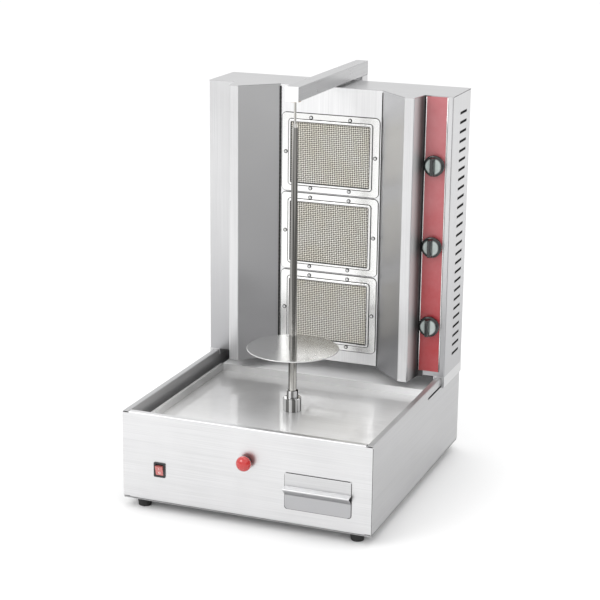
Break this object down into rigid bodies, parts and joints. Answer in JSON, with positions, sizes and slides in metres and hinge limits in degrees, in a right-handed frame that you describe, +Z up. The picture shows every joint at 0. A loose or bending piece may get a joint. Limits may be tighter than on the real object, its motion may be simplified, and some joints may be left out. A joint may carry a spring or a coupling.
{
  "type": "rotisserie oven",
  "caption": "Countertop gas broiler: upright motor-driven spit on a drip-tray base with grease drawer, and a sliding cabinet of infrared burners.",
  "frame": {"origin": "on the bench, at the middle of the whole object's footprint", "axes": "+Z up, -Y out of the front with the switches and the drawer, +X to the right as the cook sees it"},
  "size_m": [0.543, 0.6644, 0.841],
  "materials": {
    "stainless": "brushed sheet stainless steel",
    "polished_stainless": "polished stainless steel",
    "zinc_steel": "zinc-plated steel",
    "cast_alloy": "cast aluminium housing",
    "bronze": "sintered bronze bush",
    "brass": "machined brass",
    "steel_pipe": "plain steel gas pipe",
    "black_plastic": "black moulded nylon",
    "knob_plastic": "glossy black heat-resistant plastic",
    "red_switch": "translucent red lens of the mains switch",
    "red_button": "glossy red plastic",
    "red_enamel": "satin red enamel on aluminium plate",
    "ceramic_tile": "perforated ceramic burner tile",
    "rubber": "black rubber"
  },
  "bodies": {
    "base": {"arm": "stainless", "arm_bush": "bronze", "base_back": "stainless", "base_bottom": "stainless", "base_front": "stainless", "base_screws": "zinc_steel", "base_side_left": "stainless", "base_side_right": "stainless", "button_collar": "black_plastic", "cable_gland": "black_plastic", "contact_block": "black_plastic", "drawer_guides": "zinc_steel", "drip_tray": "stainless", "feet": "rubber", "gear_motor": "cast_alloy", "motor_bracket": "zinc_steel", "post": "stainless", "post_brackets": "stainless", "rear_deck": "stainless", "rocker_housing": "black_plastic", "shaft_bush": "bronze", "terminal_block": "black_plastic"},
    "coupling": {"spit_coupling": "polished_stainless"},
    "spit": {"spit_bar": "polished_stainless", "meat_plate": "polished_stainless"},
    "drawer": {"drawer_pan": "stainless", "drawer_front": "stainless"},
    "mains_switch": {"rocker_key": "red_switch"},
    "start_button": {"button_head": "red_button"},
    "cabinet": {"cabinet_back": "stainless", "cabinet_top": "stainless", "cabinet_floor": "stainless", "right_front_panel": "stainless", "control_plate": "red_enamel", "burner_panel": "stainless", "cabinet_screws": "zinc_steel", "slide_shoes": "stainless", "gas_rail": "steel_pipe", "gas_inlet": "brass", "gas_valves": "brass", "cabinet_side_left": "stainless", "cabinet_side_right": "stainless", "wing_left": "stainless", "wing_right": "stainless", "burner_frame_1": "polished_stainless", "burner_tile_1": "ceramic_tile", "burner_body_1": "zinc_steel", "burner_frame_2": "polished_stainless", "burner_tile_2": "ceramic_tile", "burner_body_2": "zinc_steel", "burner_frame_3": "polished_stainless", "burner_tile_3": "ceramic_tile", "burner_body_3": "zinc_steel"},
    "valve_1": {"valve_plug_1": "brass"},
    "knob_1": {"knob_1": "knob_plastic"},
    "valve_2": {"valve_plug_2": "brass"},
    "knob_2": {"knob_2": "knob_plastic"},
    "valve_3": {"valve_plug_3": "brass"},
    "knob_3": {"knob_3": "knob_plastic"}
  },
  "joints": [
    {"name": "cabinet_slide", "type": "slide", "parent": "base", "child": "cabinet", "axis": [0, -1, 0], "range_m": [0, 0.095]},
    {"name": "spit_drive", "type": "hinge", "parent": "base", "child": "coupling", "pos_m": [0.005, -0.06475, 0.193], "axis": [0, 0, 1], "continuous": true},
    {"name": "spit_lift", "type": "slide", "parent": "coupling", "child": "spit", "axis": [0, 0, 1], "range_m": [0, 0.02]},
    {"name": "drawer_slide", "type": "slide", "parent": "base", "child": "drawer", "axis": [0, -1, 0], "range_m": [0, 0.15]},
    {"name": "mains_rocker", "type": "hinge", "parent": "base", "child": "mains_switch", "pos_m": [-0.1835, -0.30075, 0.09], "axis": [-1, 0, 0], "range_deg": [0, 18]},
    {"name": "start_push", "type": "slide", "parent": "base", "child": "start_button", "axis": [0, 1, 0], "range_m": [0, 0.004], "stiffness_N_per_m": 1200, "springref_m": -0.003},
    {"name": "valve_turn_1", "type": "hinge", "parent": "cabinet", "child": "valve_1", "pos_m": [0.2365, 0.14515, 0.319], "axis": [0, -1, 0], "range_deg": [0, 180]},
    {"name": "knob_push_1", "type": "slide", "parent": "valve_1", "child": "knob_1", "axis": [0, 1, 0], "range_m": [0, 0.003], "stiffness_N_per_m": 1800, "springref_m": -0.003},
    {"name": "valve_turn_2", "type": "hinge", "parent": "cabinet", "child": "valve_2", "pos_m": [0.2365, 0.14515, 0.491], "axis": [0, -1, 0], "range_deg": [0, 180]},
    {"name": "knob_push_2", "type": "slide", "parent": "valve_2", "child": "knob_2", "axis": [0, 1, 0], "range_m": [0, 0.003], "stiffness_N_per_m": 1800, "springref_m": -0.003},
    {"name": "valve_turn_3", "type": "hinge", "parent": "cabinet", "child": "valve_3", "pos_m": [0.2365, 0.14515, 0.663], "axis": [0, -1, 0], "range_deg": [0, 180]},
    {"name": "knob_push_3", "type": "slide", "parent": "valve_3", "child": "knob_3", "axis": [0, 1, 0], "range_m": [0, 0.003], "stiffness_N_per_m": 1800, "springref_m": -0.003}
  ]
}
